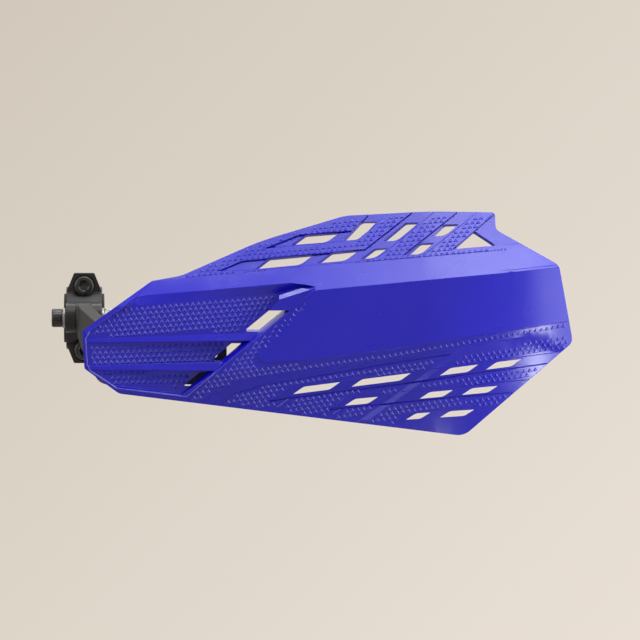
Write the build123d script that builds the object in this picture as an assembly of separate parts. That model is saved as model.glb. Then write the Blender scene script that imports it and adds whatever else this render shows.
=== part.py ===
from build123d import *
import os
from math import asin, atan, atan2, cos, radians, sin, sqrt, tan

# Frame: X runs outboard along the handlebar, Y back to the rider, Z up, in millimetres.
# The origin is on the handlebar axis, in the middle of the bar clamp.

# Shell body
shell_reach = 85.0  # handlebar axis to the front of the middle panel
shell_wall = 3.2
body_margin = 10.0  # how far the panels run on past the shell's edge before it is cut
bend_start = 183.0  # where the outboard end starts to wrap back
bend_radius = 150.0
band_angle = 45.0  # how far each panel leans back from upright
upper_angle = 33.0
lower_angle = 22.0
band_fold = (4.4, 0.0928)  # height over the handlebar axis, and rise per millimetre outboard
upper_fold = (16.7, 0.086)
lower_fold = (-39.9, 0.138)

# Shell edge as seen from in front: outboard, up, corner radius
shell_edge = [
    (0.0, -7.0, 2.0), (37.5, 20.0, 3.0), (53.5, 22.9, 20.0), (96.0, 41.6, 150.0),
    (142.0, 55.4, 25.0), (188.0, 57.8, 300.0), (223.3, 57.2, 2.0), (223.6, 47.9, 4.0),
    (257.9, 28.7, 6.0), (265.5, -13.1, 5.0), (206.4, -63.9, 10.0), (20.0, -40.9, 6.0),
    (1.3, -27.4, 2.0),
]

# Raised middle panel
plateau_rise = 1.2
plateau_bevel = 4.6
plateau_edge = [(127.4, 16.2), (95.3, -24.3), (117.7, -23.2), (166.3, -17.0), (280.0, 1.0)]
plateau_corner = 4.0

# Sunk channels, each a closed line of outboard, up
channel_depth = 0.9
channel_top_inner = [
    (98.3, 37.5), (117.7, 45.1), (145.8, 47.3), (159.3, 60.4), (171.0, 60.4), (148.5, 42.2),
    (117.7, 39.4),
]
channel_top_middle = [
    (73.4, 25.4), (86.4, 30.8), (152.8, 37.3), (183.6, 61.5), (195.6, 61.5), (164.2, 35.9),
    (159.8, 32.7), (144.7, 30.0), (94.0, 25.9),
]
channel_top_outer = [(173.4, 34.0), (206.8, 60.5), (219.2, 61.5), (185.4, 34.6)]
wing = [(200.3, 37.2), (228.4, 61.0), (258.0, 61.0), (258.0, 42.1)]
channel_low_upper = [
    (100.4, -45.4), (111.2, -37.8), (270.0, -16.8), (270.0, -22.2), (171.7, -36.2),
    (113.9, -43.5),
]
channel_low_middle = [
    (132.8, -50.0), (142.6, -42.6), (254.0, -32.3), (254.0, -38.9), (193.9, -43.9),
    (152.8, -48.0),
]
channel_low_edge = [(163.0, -61.6), (176.0, -50.9), (246.0, -45.0), (246.0, -75.0), (163.0, -75.0)]
groove_depth = 0.6
groove = [
    (56.0, -48.0), (72.0, -39.0), (91.0, -32.5), (118.0, -28.6), (171.7, -20.8),
    (236.5, -12.6), (236.5, -13.9), (171.7, -24.0), (118.0, -33.2), (97.0, -36.7),
    (83.0, -41.0), (73.0, -50.0),
]

# Lower outboard corner, a little lower than the rest
corner_drop = 0.7
corner_bevel = 3.6
corner_area = [(205.2, -15.7), (131.4, -68.6), (290.0, -68.6), (290.0, -2.1)]

# Vent rows: height of the row's line over the origin, its rise outboard, slant of the vents' ends and
# their height, then outboard place and length of each vent
upper_vent_radii = [0, 9.0, 0, 3.0]
lower_vent_radii = [0, 6.0, 0, 6.0]
upper_vents = [
    (31.5, 0.075, 1.38, 5.3, [(112.9, 18.8)]),
    (39.6, 0.020, 0.94, 10.2, [(141.0, 8.5)]),
    (18.2, 0.0935, 1.30, 5.6, [(93.2, 24.4), (127.0, 15.0), (150.4, 7.6)]),
    (38.8, 0.020, 1.20, 9.8, [(162.6, 7.2)]),
    (37.1, 0.040, 1.10, 6.2, [(188.2, 7.8)]),
    (27.5, 0.040, 1.10, 6.2, [(175.3, 7.4)]),
]
lower_vents = [
    (-55.65, 0.127, 1.41, 4.0, [(114.0, 19.7), (145.6, 26.3), (193.4, 15.0), (218.3, 13.7)]),
    (-60.3, 0.091, 1.50, 3.6, [(142.0, 12.5), (182.4, 12.6), (205.3, 14.0)]),
    (-66.4, 0.065, 1.60, 3.4, [(175.0, 7.8), (193.4, 13.2)]),
]
wing_window = [(200.8, 37.3), (225.0, 39.1), (212.5, 47.5)]
window_corner = 0.9
vent_pull = (0.35, 1.0, -0.5)  # way in which the upper vents are cut, and the window
window_pull = (-0.35, 1.0, -0.7)

# Duct recess at the inboard end
recess_edge = [
    (2.3, -9.6), (4.6, -7.2), (23.2, 6.3), (30.7, 11.8), (111.8, 18.9), (128.5, 16.2),
    (57.2, -43.2), (20.0, -38.1), (4.6, -28.1),
]
recess_skirt = 2.5  # wall round the recess, behind the shell
recess_back = (3.4, 10.4)  # depth of that wall at the inboard end and at the far end
recess_reach = (4.0, 100.0)  # where those two depths are
recess_side = ((56.2, -42.1), (124.2, 14.0))  # slanting far side of the ducts
recess_draft = (12.0, 24.0)  # of that side at the upper duct, and at the two below
duct_far = 130.0
duct_start_depth = 0.9
duct_end_depth = 6.4
duct_floor = 2.4
duct_upper = [
    (2.4, -11.1), (4.6, -7.2), (21.0, 4.6), (30.6, 6.2), (70.0, 10.1), (duct_far, 13.3), (duct_far, -6.4),
]
duct_middle = [(2.6, -13.5), (duct_far, -11.9), (duct_far, -22.6), (3.3, -25.4)]
duct_lower = [(4.6, -28.1), (duct_far, -29.0), (duct_far, -51.1), (19.0, -37.6)]
duct_ends = (96.0, 75.0, 59.0)  # where each duct reaches its full depth
lip = [(19.0, 0.2, -37.6), (56.2, 4.0, -42.1), (56.2, 6.2, -41.2)]  # outboard, depth, up: foot of duct three
rib_sink = ((12.0, 0.0), (96.0, 2.2))  # outboard and depth of the ribs' lower front edge at both ends
rib_lean = 20.0  # of the ribs' fronts, facing up
rib_lap = 0.3
brow = [(21.6, 5.7, 5.2), (30.6, 12.0, 6.7), (70.0, 15.2, 10.6), (126.0, 20.1, 13.7)]  # outboard, top, foot
brow_lap = 1.0  # strip of duct floor cut with the slope
brow_end = [(20.0, 0.0), (20.0, 18.9), (112.0, 18.9), (121.0, 17.9), (129.0, 16.1), (129.0, 0.0)]
brow_end_radii = [0, 0, 30.0, 20.0, 0, 0]
step = [(100.6, 4.0), (106.4, 9.6), (105.4, 13.2), (127.0, 19.6), (127.0, 16.3), (112.1, 4.0)]
step_top = [(106.6, 0.0, 10.0), (122.6, 0.0, 15.1), (105.6, 5.4, 12.5)]
slots = [(5.2, -7.4, 2.0, 9.2), (-13.7, -23.8, 2.0, 8.0), (-29.2, -37.2, 3.8, 4.4)]
slot_corner = 0.8
slot_pull = (-0.25, 1.0, 0.5)
slot_lead = 0.3
slot_run = 3.4

# Bevel along the inboard upper edge
edge_bevel = (4.3, 1.5)  # width and depth
band_bevel = [(30.2, 11.0), (37.5, 20.0)]  # where it runs out on the band

# Fasteners, all of one thread size
thread_radius = 3.0
thread_play = 0.05
hole_play = 0.2
head_rim = 2.0
head_height = 6.0
button_rim = 2.25
button_height = 3.3
button_side = 0.8
button_taper = 1.9
socket_across = 5.0
socket_depth = 2.6
button_socket_across = 4.0
button_socket_depth = 1.8
thread_show = 2.0
washer_rim = 2.5
washer_thick = 1.6
nut_wall = 2.0
nut_height = 5.0
insert_wall = 1.2
insert_length = 8.0
insert_tip_room = 1.4

# Bar clamp
bar_radius = 11.1
shim_wall = 1.2
shim_lip = 1.0
shim_lip_width = 1.2
clamp_width = 19.4
clamp_gap = 1.5
clamp_wall = 4.7
ear_thick = 9.0
ear_web = 2.0
ear_rim = 1.3
ear_tip_width = 10.8
ear_taper = 10.6
head_sink = 3.4
sink_play = 0.3
nut_sink = 5.2
nut_play = 0.1

# Fork and arm
lug_radius = 8.0
lug_stand = 4.0
hub_width = 8.0
fork_play = 0.05
strap_thick = 6.0
strap_straight = 11.0
strap_bend = 8.0
pad_depth = 19.0  # front of the middle panel to the pad
pad_lead = 16.0
pad_tail = 12.0
pad_above = 14.8
pad_below = 17.2
pad_corner = 5.0
waist_start = 9.0
waist_end = 4.0
waist_bend = 10.0
slot_play = 0.3
slot_travel = 8.0
boss_wall = 2.2
boss_places = (34.0, 66.0)
boss_height = -18.8
screw_bite = 6.4

# Values worked out from the ones above
head_radius = thread_radius + head_rim
button_radius = thread_radius + button_rim
washer_radius = thread_radius + washer_rim
nut_across = 2 * (thread_radius + nut_wall)
insert_radius = thread_radius + insert_wall
boss_radius = insert_radius + boss_wall
front = -shell_reach
cut_plane = Plane.XZ.offset(2 * shell_reach)
edge_points = [(x, z) for x, z, radius in shell_edge]
body_inboard = min(x for x, z in edge_points) - body_margin
body_outboard = max(x for x, z in edge_points) + body_margin
body_low = min(z for x, z in edge_points) - body_margin
body_high = max(z for x, z in edge_points) + body_margin

band_lean = tan(radians(band_angle))
upper_lean = tan(radians(upper_angle))
lower_lean = -tan(radians(lower_angle))
main_panel = (0.0, 0.0, 0.0)  # depth at the origin, depth per millimetre outboard and up
band_panel = (-band_lean * band_fold[0], -band_lean * band_fold[1], band_lean)
upper_panel = (
    band_panel[0] + (band_lean - upper_lean) * upper_fold[0],
    band_panel[1] + (band_lean - upper_lean) * upper_fold[1],
    upper_lean,
)
lower_panel = (-lower_lean * lower_fold[0], -lower_lean * lower_fold[1], lower_lean)


def panel_body(panel, depth):
    # Everything more than depth behind one panel: its plan swept up along the panel's lean
    start, across, lean = panel
    square = depth * sqrt(1 + lean**2)
    turn = atan(across)
    bend_y = front + start + lean * body_low + across * bend_start
    centre_x = bend_start - bend_radius * sin(turn)
    centre_y = bend_y + bend_radius * cos(turn)
    radius = bend_radius - square

    def on_arc(angle):
        return (centre_x + radius * sin(angle), centre_y - radius * cos(angle))

    end_turn = asin((body_outboard - centre_x) / radius)
    knee = on_arc(turn)
    tail = on_arc(end_turn)
    inboard = (body_inboard, knee[1] + across * (body_inboard - knee[0]))
    back = front + bend_radius + abs(lean) * (body_high - body_low)
    plan = make_face([
        Line(inboard, knee),
        ThreePointArc(knee, on_arc((turn + end_turn) / 2), tail),
        Polyline(tail, (body_outboard, back), (body_inboard, back), inboard),
    ])
    height = body_high - body_low
    plan = Plane.XY.offset(body_low) * plan
    return extrude(plan, amount=height * sqrt(1 + lean**2), dir=(0, lean, 1))


def shell_body(depth):
    # Everything more than depth behind the folded front of the shell
    top = panel_body(band_panel, depth) + panel_body(upper_panel, depth)
    return panel_body(main_panel, depth) & panel_body(lower_panel, depth) & top


def panel_depth(panel, x, z):
    # Depth of a panel behind the middle panel
    start, across, lean = panel
    depth = start + across * min(x, bend_start) + lean * z
    if x > bend_start:
        turn = atan(across)
        run = x - bend_start + bend_radius * sin(turn)
        depth += bend_radius * cos(turn) - sqrt(bend_radius**2 - run**2)
    return depth


def drawn(corners, radius=0):
    # A face as seen from in front, with one radius for all corners or a list of them
    if radius:
        return make_face(FilletPolyline(*corners, radius=radius, close=True))
    return make_face(Polyline(*corners, close=True))


def through(face):
    # The face pushed right through the shell, front to back
    return extrude(cut_plane * face, amount=-2 * shell_reach)


def facing(first, second, third):
    # Plane through three points of outboard, depth, up, looking to the front
    points = [Vector(x, front + depth, z) for x, depth, z in (first, second, third)]
    normal = (points[1] - points[0]).cross(points[2] - points[0])
    if normal.Y > 0:
        normal = -normal
    return Plane(origin=points[0], z_dir=normal)


def before(solid, plane):
    return split(solid, bisect_by=plane, keep=Keep.TOP)


def after(solid, plane):
    return split(solid, bisect_by=plane, keep=Keep.BOTTOM)


def vent_corners(row):
    # Corners of each vent in a row: the long sides follow the row's line
    line, rise, slant, height, vents = row
    shift = slant * height
    for x, length in vents:
        start = line + rise * x
        end = start + rise * length
        yield [(x, start), (x + length, end), (x + length + shift, end + height), (x + shift, start + height)]


def pulled(corners, radius, pull, seat, lead, run):
    # Hole along the pull, true to its corners on the seat, from lead before the seat to run behind it
    mouth = section(through(drawn(corners, radius)), section_by=seat)
    way = Vector(*pull)
    return extrude(Location(way * -lead) * mouth, amount=(lead + run) * way.length, dir=pull)


def upper_hole(corners, radius, pull):
    # Hole pulled through the upper panel
    places = (corners[0], corners[1], corners[-1])
    seat = facing(*[(x, panel_depth(upper_panel, x, z), z) for x, z in places])
    return pulled(corners, radius, pull, seat, shell_wall, 2 * shell_wall)


# Guard shell: folded wall, cut to the edge line and the lower vents
edge_face = drawn(edge_points, [radius for x, z, radius in shell_edge])
for row in lower_vents:
    edge_face -= [drawn(corners, lower_vent_radii) for corners in vent_corners(row)]
edge_body = through(edge_face)
outer_body = shell_body(0)
inner_body = shell_body(shell_wall)
middle_body = shell_body(shell_wall / 2)
shell = (outer_body - inner_body) & edge_body

# Raised panel, sloping down to its surroundings on the inboard side
high, low = plateau_edge[0], plateau_edge[1]
fold_end = (plateau_edge[-1][0], band_fold[0] + band_fold[1] * plateau_edge[-1][0])
plateau_line = [(high[0] - plateau_bevel, high[1]), (low[0] - plateau_bevel, low[1])]
plateau_line += plateau_edge[2:] + [fold_end]
plateau_radii = [0, plateau_corner] + [0] * (len(plateau_line) - 2)
plateau = through(drawn(plateau_line, plateau_radii)) & panel_body(main_panel, -plateau_rise)
plateau = plateau & (panel_body(band_panel, 0) + panel_body(upper_panel, 0))
plateau = after(plateau, facing(
    (high[0], -plateau_rise, high[1]),
    (low[0], -plateau_rise, low[1]),
    (high[0] - plateau_bevel, 0, high[1]),
))
shell += (plateau - middle_body) & edge_body

# Channels, groove and the lower outboard corner
channels = [
    channel_top_inner, channel_top_middle, channel_top_outer, wing, channel_low_upper,
    channel_low_middle, channel_low_edge,
]
channel_body = shell_body(channel_depth)
shell -= [through(drawn(line)) - channel_body for line in channels]
shell -= through(drawn(groove)) - shell_body(groove_depth)
corner_line = [(x, panel_depth(lower_panel, x, z), z) for x, z in corner_area[:2]]
foot_x, foot_z = corner_area[0][0] + corner_bevel, corner_area[0][1]
corner_foot = (foot_x, panel_depth(lower_panel, foot_x, foot_z) + corner_drop, foot_z)
corner_cut = through(drawn(corner_area))
shell -= before(corner_cut - shell_body(corner_drop), facing(*corner_line, corner_foot))
low_channels = [channel_low_upper, channel_low_middle, channel_low_edge]
deep_body = shell_body(channel_depth + corner_drop)
shell -= [(through(drawn(line)) & corner_cut) - deep_body for line in low_channels]

# Duct recess: a block behind the wall, hollowed from both sides to leave floors and ribs
(side_low, side_high) = recess_side
side_slope = (side_high[0] - side_low[0]) / (side_high[1] - side_low[1])
side_angle = atan2(side_high[1] - side_low[1], side_high[0] - side_low[0])


def side_x(z):
    return side_low[0] + (z - side_low[1]) * side_slope


def ramp(start, end, far):
    # Plane that falls from one depth at the inboard end to another at far
    return facing((recess_reach[0], start, 0), (far, end, 0), (far, end, 1))


def side_wall(angle):
    # Far side of the ducts, sloping back from the recess's edge
    draft = radians(angle)
    return Plane(
        origin=(side_low[0], front, side_low[1]),
        z_dir=(-sin(side_angle) * cos(draft), -sin(draft), cos(side_angle) * cos(draft)),
    )


upper_side, lower_side = [side_wall(angle) for angle in recess_draft]
block_face = offset(drawn(recess_edge), amount=recess_skirt, kind=Kind.INTERSECTION)
block = before(through(block_face), ramp(*recess_back, recess_reach[1]))
shell += block & middle_body & edge_body
duct_sides = (upper_side, lower_side, lower_side)
for line, far, side in zip((duct_upper, duct_middle, duct_lower), duct_ends, duct_sides):
    duct = before(through(drawn(line)), side)
    hollow = before(duct, ramp(duct_start_depth, duct_end_depth, far))
    shell -= before(hollow, facing(*lip))
    shell -= after(duct, ramp(duct_start_depth + duct_floor, duct_end_depth + duct_floor, far))

# Fronts of the two ribs between the ducts
(rib_start, start_sink), (rib_end, end_sink) = rib_sink
rib_fall = (end_sink - start_sink) / (rib_end - rib_start)
rib_edges = [
    (duct_upper[0], duct_upper[-1], duct_middle[1], duct_middle[0]),
    (duct_middle[3], duct_middle[2], duct_lower[1], duct_lower[0]),
]
for top_start, top_end, foot_end, foot_start in rib_edges:
    feet = [(x, start_sink + rib_fall * (x - rib_start), z) for x, z in (foot_start, foot_end)]
    x, sink, z = feet[1]
    rib_front = facing(*feet, (x, sink + tan(radians(rib_lean)), z + 1))
    rib_line = [(x, z + rib_lap) for x, z in (top_start, top_end)]
    rib_line += [(x, z - rib_lap) for x, z in (foot_end, foot_start)]
    shell -= before(before(through(drawn(rib_line)), lower_side), rib_front)

# Slope over the upper duct, twisting from one end to the other
brow_fall = (duct_end_depth - duct_start_depth) / (duct_ends[0] - recess_reach[0])
brow_ends = []
for x, top, foot in brow:
    top_y = front + panel_depth(band_panel, x, top)
    floor_y = front + duct_start_depth + brow_fall * (x - recess_reach[0])
    lap = foot - brow_lap
    brow_line = Polyline(
        (x, top_y, top), (x, floor_y, foot), (x, floor_y, lap), (x, 2 * front, lap), (x, 2 * front, top),
        close=True,
    )
    brow_ends.append(make_face(brow_line))
brow_cut = loft(brow_ends, ruled=True) & through(drawn(brow_end, brow_end_radii))
shell -= before(brow_cut, upper_side)

# Step at the far upper corner of the recess, level with the middle panel and with a sloping top
step_back = ramp(duct_start_depth + duct_floor / 2, duct_end_depth + duct_floor / 2, duct_ends[0])
step_block = after(through(drawn(step)) & outer_body, facing(*step_top))
shell += before(step_block, step_back)

# Slots at the far ends of the ducts
for (top, bottom, margin, width), far in zip(slots, duct_ends):
    slot_line = [
        (side_x(top) - margin - width, top), (side_x(bottom) - margin - width, bottom),
        (side_x(bottom) - margin, bottom), (side_x(top) - margin, top),
    ]
    seat = ramp(duct_start_depth, duct_end_depth, far)
    shell -= pulled(slot_line, slot_corner, slot_pull, seat, slot_lead, slot_run)

# Bevel along the inboard upper edge
bevel_start, bevel_end = Vector(*edge_points[0]), Vector(*edge_points[1])
inward = (bevel_end - bevel_start).normalized().rotate(Axis.Z, -90) * edge_bevel[0]
bevel_line = [bevel_start - inward, bevel_end - inward, bevel_end + inward, bevel_start + inward]
bevel_plane = facing(
    (bevel_start.X, edge_bevel[1], bevel_start.Y),
    (bevel_end.X, edge_bevel[1], bevel_end.Y),
    (bevel_start.X + inward.X, 0, bevel_start.Y + inward.Y),
)
bevel_cut = through(drawn([(point.X, point.Y) for point in bevel_line]))
shell -= before(bevel_cut, bevel_plane)
edge_rise = (edge_points[1][1] - edge_points[0][1]) / (edge_points[1][0] - edge_points[0][0])
fold_x = (band_fold[0] - edge_points[0][1]) / (edge_rise - band_fold[1])
fold_z = band_fold[0] + band_fold[1] * fold_x
run_out = [(x, panel_depth(band_panel, x, z), z) for x, z in band_bevel]
shell -= before(bevel_cut, facing(*run_out, (fold_x, edge_bevel[1], fold_z)))

# Upper vents and window
for row in upper_vents:
    shell -= [upper_hole(corners, upper_vent_radii, vent_pull) for corners in vent_corners(row)]
shell -= upper_hole(wing_window, window_corner, window_pull)

# Bosses with pockets for the threaded inserts
pad_face = front + pad_depth
pocket_radius = insert_radius + thread_play
pocket_depth = insert_length + insert_tip_room


def along_y(x, y, z, way):
    # Plane across the Y axis, looking back (1) or to the front (-1)
    return Plane(origin=(x, y, z), x_dir=(1, 0, 0), z_dir=(0, way, 0))


duct_slope = (duct_end_depth - duct_start_depth) / (duct_ends[1] - recess_reach[0])
for place in boss_places:
    floor_depth = duct_start_depth + duct_slope * (place - recess_reach[0]) + duct_floor / 2
    boss_length = pad_depth - floor_depth
    boss = along_y(place, pad_face, boss_height, -1) * extrude(Circle(boss_radius), boss_length)
    shell += boss
for place in boss_places:
    shell -= along_y(place, pad_face, boss_height, -1) * extrude(Circle(pocket_radius), pocket_depth)


# Fasteners, each drawn with its seat at zero and its shaft down
def hexagon(across):
    return RegularPolygon(across / sqrt(3), 6)


def socket_screw(length):
    head = extrude(Circle(head_radius), head_height)
    shaft = extrude(Circle(thread_radius), -length)
    return head + shaft - Plane.XY.offset(head_height) * extrude(hexagon(socket_across), -socket_depth)


def button_screw(length):
    head = extrude(Circle(button_radius), button_height)
    head = chamfer(head.edges().sort_by(Axis.Z)[-1], button_height - button_side, button_taper)
    shaft = extrude(Circle(thread_radius), -length)
    socket = extrude(hexagon(button_socket_across), -button_socket_depth)
    return head + shaft - Plane.XY.offset(button_height) * socket


def washer():
    return extrude(Circle(washer_radius) - Circle(thread_radius + hole_play), washer_thick)


def nut():
    return extrude(hexagon(nut_across) - Circle(thread_radius + thread_play), nut_height)


def insert():
    return extrude(Circle(insert_radius) - Circle(thread_radius + thread_play), -insert_length)


# Bar clamp: two faceted halves round rubber shims
clamp_bore = bar_radius + shim_wall
clamp_radius = clamp_bore + clamp_wall
hole_radius = thread_radius + hole_play
sink_radius = washer_radius + sink_play
bolt_height = clamp_bore + hole_radius + ear_web
ear_height = bolt_height + sink_radius + ear_rim
ear_shoulder = ear_height - ear_taper
half_width = clamp_width / 2
half_gap = clamp_gap / 2
pivot_y = -(clamp_radius + lug_stand + lug_radius)
ear_line = [
    (-half_width, -ear_shoulder), (-ear_tip_width / 2, -ear_height), (ear_tip_width / 2, -ear_height),
    (half_width, -ear_shoulder), (half_width, ear_shoulder), (ear_tip_width / 2, ear_height),
    (-ear_tip_width / 2, ear_height), (-half_width, ear_shoulder),
]
ear_face = make_face(Polyline(*ear_line, close=True))


def across_x(x, y, z, way):
    # Plane across the X axis, looking outboard (1) or inboard (-1)
    return Plane(origin=(x, y, z), x_dir=(0, 1, 0), z_dir=(way, 0, 0))


def rod(x, y, z, radius, length):
    # Round bar along X, centred on x
    return across_x(x - length / 2, y, z, 1) * extrude(Circle(radius), length)


def clamp_half(way):
    ears = along_y(0, way * half_gap, 0, way) * extrude(ear_face, ear_thick - half_gap)
    barrel = rod(0, 0, 0, clamp_radius, clamp_width)
    barrel = split(barrel, bisect_by=along_y(0, way * half_gap, 0, way), keep=Keep.TOP)
    half = ears + barrel - rod(0, 0, 0, clamp_bore, 2 * clamp_width)
    for side in (-1, 1):
        hole = along_y(0, 0, side * bolt_height, way) * extrude(Circle(hole_radius), 2 * ear_thick)
        half -= hole
    return half


clamp_front = clamp_half(-1)
clamp_rear = clamp_half(1)
lug_profile = make_face([
    Line((0, lug_radius), (pivot_y, lug_radius)),
    ThreePointArc((pivot_y, lug_radius), (pivot_y - lug_radius, 0), (pivot_y, -lug_radius)),
    Polyline((pivot_y, -lug_radius), (0, -lug_radius), (0, lug_radius)),
])
lug_gap = hub_width / 2 + fork_play
fork = across_x(-half_width, 0, 0, 1) * extrude(lug_profile, clamp_width)
fork_slot = extrude(Rectangle(2 * lug_gap, 4 * lug_radius), 4 * lug_radius)
fork -= along_y(0, -clamp_radius - lug_stand / 2, 0, -1) * fork_slot
fork = split(fork, bisect_by=along_y(0, -clamp_bore - clamp_wall / 2, 0, -1), keep=Keep.TOP)
clamp_front += fork
clamp_front -= rod(0, pivot_y, 0, hole_radius, 2 * clamp_width)
sink_floor = -ear_thick + head_sink
nut_floor = ear_thick - nut_sink
head_sinking = extrude(Circle(sink_radius), 2 * clamp_radius)
nut_pocket = extrude(hexagon(nut_across + 2 * nut_play), 2 * clamp_radius)
for side in (-1, 1):
    clamp_front -= along_y(0, sink_floor, side * bolt_height, -1) * head_sinking
    clamp_rear -= along_y(0, nut_floor, side * bolt_height, 1) * nut_pocket

shim_ring = rod(0, 0, 0, clamp_bore, clamp_width)
for side in (-1, 1):
    collar_x = side * (half_width + shim_lip_width / 2)
    shim_ring += rod(collar_x, 0, 0, clamp_bore + shim_lip, shim_lip_width)
shim_ring -= rod(0, 0, 0, bar_radius, 2 * clamp_width)
shim_front = split(shim_ring, bisect_by=along_y(0, -half_gap, 0, -1), keep=Keep.TOP)
shim_rear = split(shim_ring, bisect_by=along_y(0, half_gap, 0, 1), keep=Keep.TOP)

# Mount arm: a strap bent in plan, waisted in side view, with a slotted pad
pad_middle = pad_face + strap_thick / 2
pad_start = boss_places[0] - pad_lead
pad_end = boss_places[1] + pad_tail
pad_top = boss_height + pad_above
pad_bottom = boss_height - pad_below
strap_path = FilletPolyline(
    (0, pivot_y), (0, pivot_y - strap_straight), (pad_start, pad_middle), (pad_end, pad_middle),
    radius=strap_bend,
)
strap = extrude(trace(strap_path, strap_thick), body_high, both=True)
waist_y = pivot_y - waist_start
foot_y = pad_face + strap_thick + waist_end
side_line = [
    (pivot_y, lug_radius), (waist_y, lug_radius), (foot_y, pad_top), (front, pad_top),
    (front, pad_bottom), (foot_y, pad_bottom), (waist_y, -lug_radius), (pivot_y, -lug_radius),
]
side_radii = [0, waist_bend, waist_bend, 0, 0, waist_bend, waist_bend, 0]
side_face = make_face(FilletPolyline(*side_line, radius=side_radii, close=True))
arm = strap & across_x(body_inboard, 0, 0, 1) * extrude(side_face, body_outboard)
arm = fillet(arm.edges().filter_by(Axis.Y).group_by(Axis.X)[-1], pad_corner)
arm += rod(0, pivot_y, 0, lug_radius, hub_width)
arm -= rod(0, pivot_y, 0, hole_radius, 2 * hub_width)
slot_width = 2 * (thread_radius + slot_play)
for place in boss_places:
    slot_shape = SlotOverall(slot_travel + slot_width, slot_width)
    arm -= along_y(place, pad_face - strap_thick, boss_height, 1) * extrude(slot_shape, 3 * strap_thick)

# Fasteners in place
head_seat = sink_floor - washer_thick
bolt_length = nut_floor + nut_height + thread_show - head_seat
pivot_length = clamp_width + 2 * washer_thick + nut_height + thread_show
pivot_seat = half_width + washer_thick
screw_seat = pad_face + strap_thick
screw_length = washer_thick + strap_thick + screw_bite

pieces = {
    "guard_shell": shell,
    "mount_arm": arm,
    "clamp_front": clamp_front,
    "clamp_rear": clamp_rear,
    "bar_shim_front": shim_front,
    "bar_shim_rear": shim_rear,
    "pivot_bolt": across_x(-pivot_seat, pivot_y, 0, -1) * socket_screw(pivot_length),
    "pivot_washer_inner": across_x(-half_width, pivot_y, 0, -1) * washer(),
    "pivot_washer_outer": across_x(half_width, pivot_y, 0, 1) * washer(),
    "pivot_nut": across_x(pivot_seat, pivot_y, 0, 1) * nut(),
}
for name, side in (("upper", 1), ("lower", -1)):
    height = side * bolt_height
    pieces["clamp_bolt_" + name] = along_y(0, head_seat, height, -1) * socket_screw(bolt_length)
    pieces["clamp_washer_" + name] = along_y(0, sink_floor, height, -1) * washer()
    pieces["clamp_nut_" + name] = along_y(0, nut_floor, height, 1) * nut()
for name, place in zip(("inner", "outer"), boss_places):
    pieces["shell_insert_" + name] = along_y(place, pad_face, boss_height, 1) * insert()
    pieces["guard_washer_" + name] = along_y(place, screw_seat, boss_height, 1) * washer()
    seat = along_y(place, screw_seat + washer_thick, boss_height, 1)
    pieces["guard_screw_" + name] = seat * button_screw(screw_length)

os.makedirs("parts", exist_ok=True)
for name, shape in pieces.items():
    export_step(shape, "parts/" + name + ".step")
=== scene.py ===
from math import atan, cos, pi, radians, sin, sqrt

import bmesh
import bpy
import numpy as np
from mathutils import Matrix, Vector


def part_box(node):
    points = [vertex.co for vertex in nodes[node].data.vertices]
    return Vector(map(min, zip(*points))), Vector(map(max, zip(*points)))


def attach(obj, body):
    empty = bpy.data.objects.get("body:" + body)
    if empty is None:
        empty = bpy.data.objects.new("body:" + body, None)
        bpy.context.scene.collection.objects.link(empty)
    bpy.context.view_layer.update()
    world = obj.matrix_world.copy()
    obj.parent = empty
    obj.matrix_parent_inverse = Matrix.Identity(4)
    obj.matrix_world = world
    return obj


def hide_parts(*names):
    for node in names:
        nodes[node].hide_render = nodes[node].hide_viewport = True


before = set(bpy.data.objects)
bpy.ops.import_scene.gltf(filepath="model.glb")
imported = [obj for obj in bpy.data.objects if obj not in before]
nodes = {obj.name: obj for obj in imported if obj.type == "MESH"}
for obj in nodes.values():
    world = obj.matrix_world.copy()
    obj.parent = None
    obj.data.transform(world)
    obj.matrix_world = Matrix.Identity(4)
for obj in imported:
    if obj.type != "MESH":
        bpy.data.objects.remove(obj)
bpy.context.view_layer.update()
mm = 0.001
print("frame loaded,", len(nodes), "nodes")


# Mesh helpers

meshRules = {"weld": 1e-7, "decimals": 7, "flat": 0.05, "sharp": 32}  # metres, decimals of a metre, degrees
edgeRules = {  # degrees, shares and millimetres
    "angle": 24, "room": 2.5, "least": 0.5, "onLine": 0.3, "faceWeight": 100,
}


def readArray(items, key, shape=(-1,), kind=float):
    # One property of all items as an array; the shape says how many values an item has
    values = np.empty(len(items) * abs(int(np.prod(shape))), dtype=kind)
    items.foreach_get(key, values)
    return values.reshape(shape)


def putObject(name, mesh, material):
    # New piece from a mesh, smooth apart from its sharp edges
    mesh.polygons.foreach_set("use_smooth", np.ones(len(mesh.polygons), dtype=bool))
    mesh.set_sharp_from_angle(angle=radians(meshRules["sharp"]))
    mesh.materials.append(material)
    piece = bpy.data.objects.new(name, mesh)
    bpy.context.scene.collection.objects.link(piece)
    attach(piece, "root")
    return piece


def putMesh(name, points, faces, material, slot):
    # New piece from points and faces in metres, faces turned outwards
    mesh = bpy.data.meshes.new(name)
    mesh.from_pydata(points, [], faces)
    work = bmesh.new()
    work.from_mesh(mesh)
    bmesh.ops.remove_doubles(work, verts=work.verts, dist=meshRules["weld"])
    bmesh.ops.recalc_face_normals(work, faces=work.faces)
    work.to_mesh(mesh)
    work.free()
    return putObject(name, mesh, material)


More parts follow.
